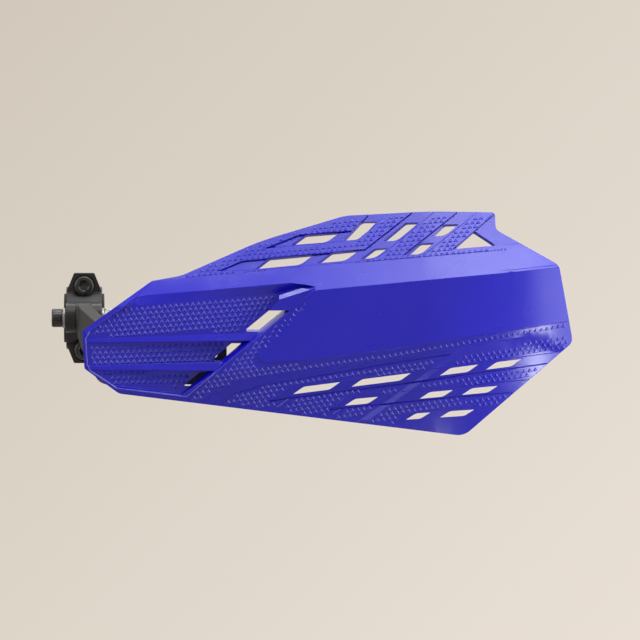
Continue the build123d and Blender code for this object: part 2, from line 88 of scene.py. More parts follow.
def mergedCopy(node, name):
    # Copy of a node's mesh: equal corners made one, flat triangles joined to larger faces
    source = nodes[node].data
    corners = readArray(source.vertices, "co", (-1, 3))
    loops = readArray(source.loops, "vertex_index", kind=int)
    points, index = np.unique(corners.round(meshRules["decimals"]), axis=0, return_inverse=True)
    faces = index.ravel()[loops].reshape(-1, 3)
    whole = (faces != np.roll(faces, 1, axis=1)).all(axis=1)
    mesh = bpy.data.meshes.new(name)
    mesh.from_pydata(points, [], faces[whole])
    work = bmesh.new()
    work.from_mesh(mesh)
    flat = radians(meshRules["flat"])
    bmesh.ops.dissolve_limit(work, angle_limit=flat, verts=work.verts, edges=work.edges)
    work.to_mesh(mesh)
    work.free()
    return mesh


def awayFrom(line, places):
    # Distance of each place from a broken line, as seen from in front
    ends = np.array(line)
    start, run = ends[:-1], ends[1:] - ends[:-1]
    along = ((places[:, None] - start) * run).sum(axis=-1) / (run**2).sum(axis=-1)
    nearest = start + np.clip(along, 0, 1)[..., None] * run
    return np.linalg.norm(places[:, None] - nearest, axis=-1).min(axis=1)


def weighEdges(mesh, radius, rims, plain):
    # Bevel weight of every sharp edge: full on the rims, less elsewhere and where the edges next to it
    # are short, none where those are too short or near a plain spot
    faceOf = np.repeat(np.arange(len(mesh.polygons)), readArray(mesh.polygons, "loop_total", kind=int))
    byEdge = np.argsort(readArray(mesh.loops, "edge_index", kind=int), kind="stable")
    pairs = faceOf[byEdge].reshape(-1, 2)
    normals = readArray(mesh.polygons, "normal", (-1, 3))
    fold = np.arccos(np.clip((normals[pairs[:, 0]] * normals[pairs[:, 1]]).sum(axis=1), -1, 1))
    ends = readArray(mesh.edges, "vertices", (-1, 2), int)
    corners = readArray(mesh.vertices, "co", (-1, 3))
    length = np.linalg.norm(corners[ends[:, 0]] - corners[ends[:, 1]], axis=1)
    shortest = np.full(len(corners), length.max())
    np.minimum.at(shortest, ends.ravel(), np.repeat(length, 2))
    fromFront = corners[:, [0, 2]] / mm
    wanted = np.full(len(ends), radius)
    for wide, line in rims:
        near = awayFrom(line, fromFront) < edgeRules["onLine"]
        wanted[near[ends].all(axis=1)] = wide
    wanted = np.minimum(wanted, shortest[ends].min(axis=1) / edgeRules["room"] / mm)
    wanted[(fold < radians(edgeRules["angle"])) | (wanted < edgeRules["least"] * radius)] = 0
    for reach, spot in plain:
        near = np.linalg.norm(fromFront - spot, axis=1) < reach
        wanted[near[ends].any(axis=1)] = 0
    widest = wanted.max()
    weights = mesh.attributes.new("bevel_weight_edge", "FLOAT", "EDGE")
    weights.data.foreach_set("value", (wanted / widest).astype(np.float32))
    return widest


def roundEdges(piece, radius, segments=2, rims=(), plain=()):
    # Rounding by the weights of the edges, with shading that follows the larger faces
    bevel = piece.modifiers.new("roundedEdges", "BEVEL")
    bevel.width = weighEdges(piece.data, radius, rims, plain) * mm
    bevel.segments = segments
    bevel.limit_method = "WEIGHT"
    bevel.use_clamp_overlap = False
    shading = piece.modifiers.new("evenShading", "WEIGHTED_NORMAL")
    shading.keep_sharp = True
    shading.weight = edgeRules["faceWeight"]


# Material helpers

noiseSpan = (0.3, 0.7)  # the part of a noise's range that is used


def newMaterial(name):
    # Material with its node tree and its one shader
    material = bpy.data.materials.new(name)
    material.use_nodes = True
    tree = material.node_tree
    return material, tree, tree.nodes["Principled BSDF"]


def addNode(tree, kind, inputs=None, **settings):
    # New node; an input is a constant or the socket that feeds it
    node = tree.nodes.new(kind)
    for key, value in settings.items():
        setattr(node, key, value)
    for key, value in (inputs or {}).items():
        if isinstance(value, bpy.types.NodeSocket):
            tree.links.new(value, node.inputs[key])
        else:
            node.inputs[key].default_value = value
    return node


def noiseField(tree, scale, detail):
    # Noise in the object's own space
    place = addNode(tree, "ShaderNodeTexCoord").outputs["Object"]
    noise = addNode(tree, "ShaderNodeTexNoise", {"Vector": place, "Scale": scale, "Detail": detail})
    return noise.outputs["Fac"]


def toneBetween(tree, field, *tones):
    # Blend of two colours over the used part of the field
    blend = addNode(tree, "ShaderNodeValToRGB", {"Fac": field})
    for stop, position, tone in zip(blend.color_ramp.elements, noiseSpan, tones):
        stop.position = position
        stop.color = (*tone, 1)
    return blend.outputs["Color"]


def valueBetween(tree, field, low, high):
    # The used part of the field stretched to low..high
    start, end = noiseSpan
    inputs = {"Value": field, "From Min": start, "From Max": end, "To Min": low, "To Max": high}
    return addNode(tree, "ShaderNodeMapRange", inputs).outputs["Result"]


def bumpFrom(tree, field, strength, depth):
    # Relief from a field, its depth in millimetres
    inputs = {"Height": field, "Strength": strength, "Distance": depth * mm}
    return addNode(tree, "ShaderNodeBump", inputs).outputs["Normal"]


def finishMaterial(name, finish):
    # Two tones, a range of roughness and a fine relief, each spread by its own noise
    material, tree, shader = newMaterial(name)
    colour = toneBetween(tree, noiseField(tree, *finish["toneNoise"]), *finish["tones"])
    tree.links.new(colour, shader.inputs["Base Color"])
    rough = valueBetween(tree, noiseField(tree, *finish["roughNoise"]), *finish["rough"])
    tree.links.new(rough, shader.inputs["Roughness"])
    if "bump" in finish:
        normal = bumpFrom(tree, noiseField(tree, *finish["bumpNoise"]), *finish["bump"])
        tree.links.new(normal, shader.inputs["Normal"])
    for socket, value in finish["constants"].items():
        shader.inputs[socket].default_value = value
    return material


# Finishes: a noise is its scale and detail, a bump its strength and its depth in millimetres

shellFinish = {
    "tones": ((0.0050, 0.0035, 0.400), (0.0075, 0.0055, 0.445)), "toneNoise": (18, 3),
    "rough": (0.20, 0.29), "roughNoise": (60, 5),
    "bump": (0.25, 0.03), "bumpNoise": (700, 2), "constants": {"IOR": 1.5},
}
armFinish = {
    "tones": ((0.011, 0.011, 0.012), (0.024, 0.024, 0.025)), "toneNoise": (1400, 4),
    "rough": (0.5, 0.66), "roughNoise": (90, 3),
    "bump": (0.5, 0.08), "bumpNoise": (1400, 4), "constants": {},
}
clampFinish = {
    "tones": ((0.012, 0.012, 0.013), (0.028, 0.028, 0.03)), "toneNoise": (45, 3),
    "rough": (0.34, 0.48), "roughNoise": (140, 3),
    "bump": (0.35, 0.05), "bumpNoise": (900, 4), "constants": {"Metallic": 0.5},
}
rubberFinish = {
    "tones": ((0.012, 0.012, 0.012), (0.022, 0.021, 0.021)), "toneNoise": (1100, 3),
    "rough": (0.72, 0.86), "roughNoise": (120, 3),
    "bump": (0.4, 0.08), "bumpNoise": (1100, 3), "constants": {},
}
blackFinish = {
    "tones": ((0.030, 0.030, 0.031), (0.060, 0.059, 0.058)), "toneNoise": (260, 4),
    "rough": (0.28, 0.44), "roughNoise": (520, 4),
    "bump": (0.2, 0.04), "bumpNoise": (1500, 3), "constants": {"Metallic": 1.0},
}
zincFinish = {**blackFinish, "tones": ((0.20, 0.20, 0.20), (0.30, 0.295, 0.285))}
brassFinish = {
    "tones": ((0.52, 0.35, 0.12), (0.66, 0.47, 0.19)), "toneNoise": (240, 4),
    "rough": (0.25, 0.4), "roughNoise": (500, 3), "constants": {"Metallic": 1.0},
}
shellBlue = finishMaterial("shellBlue", shellFinish)
armNylon = finishMaterial("armNylon", armFinish)
clampAnodised = finishMaterial("clampAnodised", clampFinish)
shimRubber = finishMaterial("shimRubber", rubberFinish)
blackSteel = finishMaterial("blackSteel", blackFinish)
zincSteel = finishMaterial("zincSteel", zincFinish)
insertBrass = finishMaterial("insertBrass", brassFinish)
print("materials made")


# Shell: the moulding with rounded edges

shellEdges = {  # millimetres from in front; a rim is a wider rounding along a line, a plain spot has none
    "radius": 0.25, "segments": 3, "plain": [(8.0, (203.0, -62.5)), (4.5, (224.2, 25.6))],
    "rims": [
        (0.9, [(0.0, -7.0), (1.3, -27.4), (20.0, -40.9), (196.8, -62.72)]),  # inboard end and bottom
        (0.8, [(56.2, -42.1), (124.2, 14.0)]),  # far side of the ducts
        (0.5, [(21.0, 4.6), (4.6, -7.2), (2.4, -11.1), (3.3, -25.4), (4.6, -28.1), (19.0, -37.6),
               (56.2, -42.1)]),  # near side and foot of the ducts
    ],
}
shell = putObject("shellMoulding", mergedCopy("guard_shell", "shellMoulding"), shellBlue)
roundEdges(shell, **shellEdges)
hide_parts("guard_shell")
print("shell copied,", len(shell.data.polygons), "faces")


# Surfaces of the shell's front, as depths behind the plane of its middle panel

guardForm = {  # millimetres and slopes, as in the solids
    "front": -85.0, "bendStart": 183.0, "bendRadius": 150.0,
    "upper": (1.455, -0.06265, 0.6494), "middle": (0.0, 0.0, 0.0), "lower": (-16.12, 0.05575, -0.404),
    "cornerLine": ((205.2, -15.7), (131.4, -68.6)), "cornerTop": ((290.0, -2.1), (205.2, -15.7)),
    "cornerFoot": 3.6, "cornerDrop": 0.7,
    "plateauFoot": ((90.7, -24.3), (122.8, 16.2)), "plateauRun": 4.6, "plateauRise": 1.2,
    "plateauBottom": [(90.7, -24.3), (117.7, -23.2), (166.3, -17.0), (280.0, 1.0)],
    "ductStart": 0.9, "ductFall": 5.5, "ductInboard": 4.0,
}


def bentDepth(panel, x, z):
    # Depth of a panel: flat as far as the bend, then an arc back round an upright axis
    start, across, lean = panel
    swing, radius = atan(across), guardForm["bendRadius"]
    run = np.maximum(x - guardForm["bendStart"], 0) + radius * sin(swing)
    arc = radius * cos(swing) - np.sqrt(radius**2 - run**2)
    return start + lean * z + across * np.minimum(x, guardForm["bendStart"]) + arc


def bentSteepness(panel, x):
    # Depth through the panel, along the view, for each millimetre at right angles to it
    across, lean = panel[1:]
    radius = guardForm["bendRadius"]
    run = np.maximum(x - guardForm["bendStart"], 0) + radius * sin(atan(across))
    return np.sqrt(1 + run**2 / (radius**2 - run**2) + lean**2)


def rightOf(line, x, z):
    # Distance right of a line through two points
    (x0, z0), (x1, z1) = line
    return ((x - x0) * (z0 - z1) - (z - z0) * (x0 - x1)) / sqrt((x1 - x0)**2 + (z1 - z0)**2)


def upperDepth(x, z):
    # Upper panel, leaning back towards its top
    return bentDepth(guardForm["upper"], x, z)


def foldedDepth(x, z):
    # Middle and lower panel, whichever lies deeper
    return np.maximum(bentDepth(guardForm["middle"], x, z), bentDepth(guardForm["lower"], x, z))


def plateauRise(x, z):
    # A slope from the foot of the raised panel's inboard edge up to its top, above its bottom edge only
    (x0, z0), (x1, z1) = guardForm["plateauFoot"]
    foot = x0 + (z - z0) * (x1 - x0) / (z1 - z0)
    rise = guardForm["plateauRise"] * np.clip((x - foot) / guardForm["plateauRun"], 0, 1)
    bottom = np.array(guardForm["plateauBottom"]).T
    return np.where(z > np.interp(x, *bottom), rise, 0.0)


def cornerDepth(x, z):
    # Plane through both ends of the corner's line and the foot of its slope
    (x0, z0), (x1, z1) = guardForm["cornerLine"]
    place = np.array([(x0, z0, 1.0), (x1, z1, 1.0), (x0 + guardForm["cornerFoot"], z0, 1.0)])
    drop = np.array([0, 0, guardForm["cornerDrop"]])
    depth = bentDepth(guardForm["lower"], place[:, 0], place[:, 1]) + drop
    slopeX, slopeZ, start = np.linalg.solve(place, depth)
    return start + slopeX * x + slopeZ * z


def lowerDepth(x, z):
    # Middle panel above the fold and lower panel below it, sunk in the outboard corner, less the raised
    # panel's rise
    inCorner = (rightOf(guardForm["cornerLine"], x, z) > 0) & (rightOf(guardForm["cornerTop"], x, z) > 0)
    folded = foldedDepth(x, z)
    full = guardForm["cornerDrop"] * bentSteepness(guardForm["lower"], x)
    return folded + np.clip(cornerDepth(x, z) - folded, 0, full) * inCorner - plateauRise(x, z)


def ductDepth(far):
    # Floor of a duct that falls back evenly from its inboard end to its far end
    start, fall, near = guardForm["ductStart"], guardForm["ductFall"], guardForm["ductInboard"]
    return lambda x, z: start + fall * (x - near) / (far - near)


# Texture: rows of small raised triangles on the shell's front

pointShape = {  # millimetres; the core is the share of a triangle that has to lie in its zone
    "pitch": 3.05, "side": 2.9, "top": 1.1, "height": 0.34, "sunk": 0.06, "core": 0.5,
    "beforeRamp": 0.3, "aboveRamp": 0.5, "afterRamp": 3.0,
}
tallShare = sqrt(3) / 2  # height of a triangle with equal sides of 1
slopeStep = 0.01  # millimetres to either side of a point, for its slope
upperChannels = [
    [(98.3, 37.5), (117.7, 45.1), (145.8, 47.3), (159.3, 60.4), (171.0, 60.4), (148.5, 42.2), (117.7, 39.4)],
    [(73.4, 25.4), (86.4, 30.8), (152.8, 37.3), (183.6, 61.5), (195.6, 61.5), (164.2, 35.9), (159.8, 32.7),
     (144.7, 30.0), (94.0, 25.9)],
    [(173.4, 34.0), (206.8, 60.5), (219.2, 61.5), (185.4, 34.6)],
    [(200.3, 37.2), (228.4, 61.0), (258.0, 61.0), (258.0, 42.1)],
]
lowerChannels = [
    [(100.4, -45.4), (111.2, -37.8), (270.0, -16.8), (270.0, -22.2), (171.7, -36.2), (113.9, -43.5)],
    [(132.8, -50.0), (142.6, -42.6), (254.0, -32.3), (254.0, -38.9), (193.9, -43.9), (152.8, -48.0)],
    [(163.0, -61.6), (176.0, -50.9), (246.0, -45.0), (246.0, -75.0), (163.0, -75.0)],
]
plainBands = [
    [(56.0, -48.0), (72.0, -39.0), (91.0, -32.5), (118.0, -28.6), (171.7, -20.8), (236.5, -12.6),
     (236.5, -13.9), (171.7, -24.0), (118.0, -33.2), (97.0, -36.7), (83.0, -41.0), (73.0, -50.0)],
    [(171.7, -21.4), (205.0, -15.9), (239.6, -10.0), (268.0, -4.9), (268.0, -7.3), (239.6, -12.2),
     (205.0, -18.9), (171.7, -24.0)],
]
channelLips = {  # millimetres; short ridges at the inboard ends of two channels, clear of triangles
    "half": 0.6, "height": 0.5, "sunk": 0.1, "taper": 1.0, "clear": 1.9,
    "lines": {
        "channelLipUpper": [(104.9, -48.7), (112.0, -43.5)],
        "channelLipLower": [(135.2, -52.4), (139.8, -49.2)],
    },
}
upperLean, lowerLean = guardForm["upper"][2], guardForm["lower"][2]
textureZones = {  # surface, point that a row runs through, outline from in front, rise, lean, scale
    "upper": (upperDepth, (54.0, 22.4), [
        (54.0, 22.4), (96.0, 40.4), (142.0, 54.2), (188.0, 56.4), (221.5, 55.8), (199.6, 37.0), (225.0, 38.6),
        (237.0, 39.2), (237.0, 37.8), (54.0, 21.9)], 0.086, upperLean, 1.0),
    "upperRow": (upperDepth, (86.0, 24.75), [
        (86.0, 23.9), (230.0, 36.4), (230.0, 37.8), (86.0, 25.3)], 0.0865, upperLean, 0.6),
    "lowerRow": (lowerDepth, (230.0, -9.6), [
        (158.0, -23.2), (263.4, -5.3), (263.4, -1.9), (158.0, -20.0)], 0.172, lowerLean, 1.0),
    "lower": (lowerDepth, (135.3, -24.8), [
        (123.5, 11.5), (58.5, -42.0), (58.0, -44.6), (204.0, -62.6), (207.4, -62.6), (263.6, -14.2),
        (263.6, -8.2), (239.6, -12.2), (205.0, -18.9), (171.7, -24.0), (158.0, -26.0), (158.0, -19.1),
        (117.7, -24.2), (95.3, -25.3), (91.2, -25.2),
        (96.8, -18.7), (106.9, -9.4), (115.4, -0.4), (123.8, 8.4), (126.0, 12.6)], 0.15, lowerLean, 1.0),
    "ductOne": (ductDepth(96.0), (3.4, -10.8), [
        (3.4, -10.8), (5.2, -7.2), (21.2, 4.6), (30.6, 6.4), (70.0, 10.3), (104.8, 12.8), (105.4, 9.2),
        (99.8, 4.2), (86.8, -7.6)], 0.085, 0.0, 1.0),
    "ductTwo": (ductDepth(75.0), (3.6, -24.4), [
        (3.6, -13.6), (80.2, -12.8), (68.6, -23.8), (4.4, -25.2)], 0.03, 0.0, 1.0),
    "ductThree": (ductDepth(59.0), (6.0, -30.0), [
        (6.0, -28.2), (63.4, -29.0), (53.6, -37.6), (19.6, -37.0)], 0.02, 0.0, 1.0),
}


def inside(outline, x, z):
    # Even-odd test of all points against one closed outline
    x0, z0 = np.array(outline).T
    x1, z1 = np.roll(x0, -1), np.roll(z0, -1)
    crosses = (z0 > z[..., None]) != (z1 > z[..., None])
    slope = (x1 - x0) / np.where(z1 == z0, 1.0, z1 - z0)
    return (crosses & (x[..., None] < x0 + (z[..., None] - z0) * slope)).sum(-1) % 2 == 1


def onRamp(x, z):
    # Strip along the corner's line, as wide as the ramp with some room on each side
    away = rightOf(guardForm["cornerLine"], x, z)
    across = (away > -pointShape["beforeRamp"]) & (away < pointShape["afterRamp"])
    return across & (rightOf(guardForm["cornerTop"], x, z) > -pointShape["aboveRamp"])


def pointField(surface, start, outline, rise, lean, scale):
    # Lattice with every other row moved by half a pitch; each triangle has three base corners on the
    # surface, a little sunk, and three nearer its middle, raised along the surface's normal
    tilt = 1 / sqrt(1 + lean**2)
    pitch, side = pointShape["pitch"] * scale, pointShape["side"] * scale
    rowStep = pitch * tallShare * tilt
    wide, high = np.ptp(np.array(outline), axis=0)
    across, up = np.ceil(wide / pitch), np.ceil((high + rise * wide) / rowStep)
    lattice = np.meshgrid(np.arange(-across, across + 1), np.arange(-up, up + 1))
    column, row = [grid.ravel() for grid in lattice]
    x = start[0] + (column + 0.5 * (row % 2)) * pitch
    z = start[1] + rise * (x - start[0]) + row * rowStep
    half, tall = side / 2, side * tallShare * tilt
    offsetX = np.array([-half, half, 0.0])
    offsetZ = np.array([-tall / 3, -tall / 3, 2 * tall / 3]) + rise * offsetX
    cornerX, cornerZ = x[:, None] + offsetX, z[:, None] + offsetZ
    coreX, coreZ = x[:, None] + pointShape["core"] * offsetX, z[:, None] + pointShape["core"] * offsetZ
    kept = inside(outline, coreX, coreZ).all(axis=1)
    for channel in upperChannels + lowerChannels + plainBands:
        kept &= ~inside(channel, coreX, coreZ).any(axis=1)
    if surface is lowerDepth:
        kept &= ~onRamp(cornerX, cornerZ).any(axis=1)
        for line in channelLips["lines"].values():
            kept &= awayFrom(line, np.stack([x, z], axis=-1)) > channelLips["clear"]
    x, z, cornerX, cornerZ = x[kept], z[kept], cornerX[kept], cornerZ[kept]
    slopeX = (surface(x + slopeStep, z) - surface(x - slopeStep, z)) / (2 * slopeStep)
    slopeZ = (surface(x, z + slopeStep) - surface(x, z - slopeStep)) / (2 * slopeStep)
    normal = np.stack([slopeX, -np.ones_like(x), slopeZ], axis=-1)
    normal = (normal / np.linalg.norm(normal, axis=-1, keepdims=True))[:, None, :]
    centre = np.stack([x, guardForm["front"] + surface(x, z), z], axis=-1)[:, None, :]
    base = np.stack([cornerX, guardForm["front"] + surface(cornerX, cornerZ), cornerZ], axis=-1)
    top = centre + (base - centre) * pointShape["top"] / pointShape["side"]
    top += pointShape["height"] * scale * normal
    return np.concatenate([base - pointShape["sunk"] * normal, top], axis=1)


def textureMesh(fields):
    # Corners 0 to 2 are a triangle's base and 3 to 5 its top: three sides of two faces each, a top, a base
    sides = [(0, 1, 4), (0, 4, 3), (1, 2, 5), (1, 5, 4), (2, 0, 3), (2, 3, 5)]
    first = fields.shape[1] * np.arange(len(fields))[:, None, None]
    faces = first + np.array(sides + [(3, 4, 5), (0, 2, 1)])
    return fields.reshape(-1, 3) * mm, faces.reshape(-1, 3)


textureFields = np.concatenate([pointField(*zone) for zone in textureZones.values()])
putMesh("shellTexture", *textureMesh(textureFields), shellBlue, "shell_plastic")
print("texture made,", len(textureFields), "triangles")


# Ramp down to the lower outboard corner, in front of the step in the solid

rampShape = {  # millimetres along and across the corner's line
    "from": 8.0, "to": 67.4, "lean": 1.085, "width": 2.8, "channel": 0.97, "sunk": 0.2, "grid": (240, 12),
}


def unitGrid(counts):
    # Two parameters from 0 to 1 on a grid
    return np.meshgrid(*[np.linspace(0, 1, count) for count in counts], indexing="ij")


def closedGrid(front, back):
    # Two grids of points of the same size, joined all round their edges
    along, across = front.shape[:2]
    index = np.arange(along * across).reshape(along, across)
    quads = np.stack([index[:-1, :-1], index[1:, :-1], index[1:, 1:], index[:-1, 1:]], axis=-1).reshape(-1, 4)
    border = np.concatenate([index[0, :-1], index[:-1, -1], index[-1, :0:-1], index[:0:-1, 0]])
    after = np.roll(border, -1)
    side = np.stack([border, after, after + index.size, border + index.size], axis=-1)
    points = np.concatenate([front.reshape(-1, 3), back.reshape(-1, 3)])
    return points * mm, np.concatenate([quads, quads[:, ::-1] + index.size, side])


def rampMesh():
    # Rows along the corner's line, from its step down to the full drop, lower where a channel crosses it
    (x0, z0), (x1, z1) = guardForm["cornerLine"]
    length = sqrt((x1 - x0)**2 + (z1 - z0)**2)
    alongX, alongZ = (x1 - x0) / length, (z1 - z0) / length
    share, step = unitGrid(rampShape["grid"])
    out = step * rampShape["width"]
    run = rampShape["from"] + share * (rampShape["to"] - rampShape["lean"] * out - rampShape["from"])
    x, z = x0 + alongX * run - alongZ * out, z0 + alongZ * run + alongX * out
    crossed = np.any([inside(channel, x, z) for channel in lowerChannels], axis=0)
    drop = guardForm["cornerDrop"] * bentSteepness(guardForm["lower"], x)
    depth = guardForm["front"] + foldedDepth(x, z) + rampShape["channel"] * crossed
    front = np.stack([x, depth + drop * step, z], axis=-1)
    back = np.stack([x, depth + drop + rampShape["sunk"], z], axis=-1)
    return closedGrid(front, back)


putMesh("cornerRamp", *rampMesh(), shellBlue, "shell_plastic")
print("ramp made")


# Facet on the front edge of the ledge at the upper duct's end

facetShape = {  # millimetres; the foot lies on the middle panel, the ledge falls back faster than the facet
    "foot": ((106.4, 9.95), (123.4, 15.35)), "tall": 2.3, "full": 0.72, "least": 0.02,
    "lean": 0.7, "ledge": 1.9, "sunk": 0.3, "grid": (24, 6),
}


def facetMesh():
    # A slope that rises and falls back evenly from its foot line, lower towards its outboard tip
    (x0, z0), (x1, z1) = facetShape["foot"]
    share, up = unitGrid(facetShape["grid"])
    tall = facetShape["tall"] * np.clip((1 - share) / (1 - facetShape["full"]), facetShape["least"], 1)
    x, rise = x0 + share * (x1 - x0), up * tall
    z = z0 + share * (z1 - z0) + rise
    front = np.stack([x, guardForm["front"] + facetShape["lean"] * rise, z], axis=-1)
    back = np.stack([x, guardForm["front"] + facetShape["ledge"] * rise + facetShape["sunk"], z], axis=-1)
    return closedGrid(front, back)


putMesh("ledgeFacet", *facetMesh(), shellBlue, "shell_plastic")
print("facet made")


# Beads: a low ridge round the duct recess, and a short one at the inboard end of two channels

beadShape = {  # millimetres; the line runs just outside the recess's edge
    "half": 0.5, "height": 0.38, "sunk": 0.1, "taper": 6.0,
    "line": [(30.0, 11.6), (20.7, 5.0), (4.2, -6.9), (1.9, -11.0), (2.8, -25.6), (4.2, -28.5), (18.8, -38.1),
             (56.4, -42.7), (92.0, -13.3)],
}
beadStops = 120  # even steps along a line, besides its corners
inboardBevel = {"wide": 4.3, "deep": 1.5, "edge": ((37.5, 20.0), (0.0, -7.0))}  # as in the solids


def rimDepth(x, z):
    # Middle or lower panel, or the bevel along the inboard upper edge where that lies deeper
    bevel = inboardBevel["deep"] * (1 - rightOf(inboardBevel["edge"], x, z) / inboardBevel["wide"])
    return np.maximum(lowerDepth(x, z), bevel)


def beadMesh(shape, line):
    # Two slopes that meet in a crest, carried along the line with mitred corners; the ends run out flat
    corners = np.array(line)
    run = np.diff(corners, axis=0)
    length = np.linalg.norm(run, axis=1)
    across = np.stack([-run[:, 1], run[:, 0]], axis=-1) / length[:, None]
    before = np.concatenate([across[:1], across])
    mitre = np.concatenate([across[:1], across[:-1] + across[1:], across[-1:]])
    mitre /= (mitre * before).sum(axis=1, keepdims=True)
    walked = np.concatenate([[0.0], np.cumsum(length)])
    stops = np.unique(np.concatenate([walked, np.linspace(0, walked[-1], beadStops)]))
    spine = np.stack([np.interp(stops, walked, corners[:, k]) for k in (0, 1)], axis=-1)
    atCorner = np.stack([np.interp(stops, walked, mitre[:, k]) for k in (0, 1)], axis=-1)
    stretch = np.clip(np.searchsorted(walked, stops, side="right") - 1, 0, len(across) - 1)
    side = np.where(np.isin(stops, walked)[:, None], atCorner, across[stretch])
    rise = np.clip(np.minimum(stops, stops[-1] - stops) / shape["taper"], 0, 1) * shape["height"]
    sunk = np.full_like(rise, -shape["sunk"])
    offsets = np.array([-shape["half"], 0.0, shape["half"]])
    flat = spine[:, None, :] + offsets[None, :, None] * side[:, None, :]
    depth = rimDepth(flat[..., 0], flat[..., 1]) - np.stack([sunk, rise, sunk], axis=1)
    rows = np.stack([flat[..., 0], guardForm["front"] + depth, flat[..., 1]], axis=-1)
    first = len(offsets) * np.arange(len(stops))
    strips = first[:-1, None, None] + np.array([(0, 1, 4, 3), (1, 2, 5, 4), (2, 0, 3, 5)])
    caps = first[[0, -1], None] + np.array([0, 1, 2])
    faces = strips.reshape(-1, 4).tolist() + caps.tolist()
    return rows.reshape(-1, 3) * mm, faces


putMesh("recessBead", *beadMesh(beadShape, beadShape["line"]), shellBlue, "shell_plastic")
for name, line in channelLips["lines"].items():
    putMesh(name, *beadMesh(channelLips, line), shellBlue, "shell_plastic")
print("beads made")


# Rigid pieces under the shell: copies with rounded edges

armPlain = [(2.0, (x, z)) for x in (-3.0, 3.0) for z in (-9.0, 7.8)]  # four corners that stay sharp
rigidPieces = {  # node, radius of the edges in millimetres, finish, slot, spots without rounding
    "armBody": ("mount_arm", 0.5, armNylon, "arm_plastic", armPlain),
    "clampFrontHalf": ("clamp_front", 0.45, clampAnodised, "clamp_metal", ()),
    "clampRearHalf": ("clamp_rear", 0.45, clampAnodised, "clamp_metal", ()),
    "shimFrontSleeve": ("bar_shim_front", 0.2, shimRubber, "shim_rubber", ()),
    "shimRearSleeve": ("bar_shim_rear", 0.2, shimRubber, "shim_rubber", ()),
}
for name, (node, radius, material, slot, plain) in rigidPieces.items():
    piece = putObject(name, mergedCopy(node, name), material)
    roundEdges(piece, radius, plain=plain)
    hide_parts(node)
print("arm, clamp and shims copied")


# Fasteners: rings of points carried along an axis, from the head's or face's outer side

ringSides = 96  # points in a ring
arcSteps = 5  # rings in a quarter arc
around = np.linspace(0, 2 * pi, ringSides, endpoint=False)


def hexRadius(across):
    # Six flats with a corner at angle 0: half the width over the cosine of the angle from the flat
    return across / 2 / np.cos(around % (pi / 3) - pi / 6)


def roundRings(*pairs):
    # Circles from pairs of radius and height
    return [(np.full_like(around, radius), height) for radius, height in pairs]


def arcRings(radius, height, size, start, end):
    # Quarter arc of a profile about a centre at that radius and height
    angle = np.radians(np.linspace(start, end, arcSteps))
    return roundRings(*zip(radius + size * np.cos(angle), height + size * np.sin(angle)))


socketForm = {"cone": 0.8, "floorShare": 0.98, "wall": 0.35, "chamfer": 0.12, "mouth": 0.15}


def socketRings(across, depth):
    # Drill cone, six-sided wall and a small round chamfer at the mouth
    corner = across / sqrt(3)
    wall = [(hexRadius(across) * socketForm["floorShare"], depth), (hexRadius(across), socketForm["wall"])]
    mouth = roundRings((corner, socketForm["chamfer"]), (corner + socketForm["mouth"], 0.0))
    return roundRings((0, depth + socketForm["cone"])) + wall + mouth


threadForm = {  # millimetres; flank and crest are shares of the groove's form
    "radius": 3.0, "pitch": 1.0, "depth": 0.55, "ringsPerTurn": 8, "flank": 1.25, "crest": 0.125,
    "runOut": 0.3, "end": 0.6, "tipStart": 0.25, "tipChamfer": 0.3,
}


def threadRings(start, end):
    # Shaft with a helical groove: the radius falls and rises once a pitch, later by the share of a turn
    radius, pitch, depth = threadForm["radius"], threadForm["pitch"], threadForm["depth"]
    heights = np.arange(start, end - threadForm["end"], pitch / threadForm["ringsPerTurn"])
    phase = (heights[:, None] / pitch - around / (2 * pi)) % 1
    fade = np.clip((heights[:, None] - start) / pitch, 0, 1)
    groove = np.clip(threadForm["flank"] * (1 - np.abs(2 * phase - 1)) - threadForm["crest"], 0, 1)
    root = radius - depth
    tip = roundRings((root, end - threadForm["tipStart"]), (root - threadForm["tipChamfer"], end), (0, end))
    return list(zip(radius - depth * fade * groove, heights)) + tip


capForm = {  # millimetres; the foot is pairs of inset and height above the head's underside
    "radius": 5.0, "height": 6.0, "socket": (5.0, 2.6), "crownInset": 0.8, "crownRadius": 0.75,
    "knurls": 24, "knurlDepth": 0.16, "knurlStart": 1.0, "knurlEnd": 0.45, "foot": [(0.2, 0.25), (0.45, 0.0)],
}


def capScrew(length):
    # Socket, rounded crown, upright side with a wave of knurls, chamfered foot and the threaded shaft
    radius, height, inset = capForm["radius"], capForm["height"], capForm["crownInset"]
    knurl = radius - capForm["knurlDepth"] * (0.5 + 0.5 * np.cos(capForm["knurls"] * around))
    rings = socketRings(*capForm["socket"]) + arcRings(radius - inset, inset, capForm["crownRadius"], -90, 0)
    rings += [(knurl, capForm["knurlStart"]), (knurl, height - capForm["knurlEnd"])]
    rings += roundRings(*[(radius - inward, height - above) for inward, above in capForm["foot"]])
    rings += roundRings((threadForm["radius"], height))
    return rings + threadRings(height + threadForm["runOut"], length)


buttonForm = {  # millimetres
    "radius": 5.25, "height": 3.3, "side": 0.8, "socket": (4.0, 1.8), "flat": 0.5, "foot": 0.2,
    "domeSteps": 9,
}


def buttonScrew(length):
    # Domed head: an arc from the rim of the socket down to a short upright side
    radius, height, foot = buttonForm["radius"], buttonForm["height"], buttonForm["foot"]
    flat = buttonForm["socket"][0] / sqrt(3) + buttonForm["flat"]
    lean = np.linspace(0, pi / 2, buttonForm["domeSteps"])
    dome = zip(flat + (radius - flat) * np.sin(lean), (height - buttonForm["side"]) * (1 - np.cos(lean)))
    side = [(radius, height - foot), (radius - foot, height), (threadForm["radius"], height)]
    rings = socketRings(*buttonForm["socket"]) + roundRings(*dome, *side)
    return rings + threadRings(height + threadForm["runOut"], length)


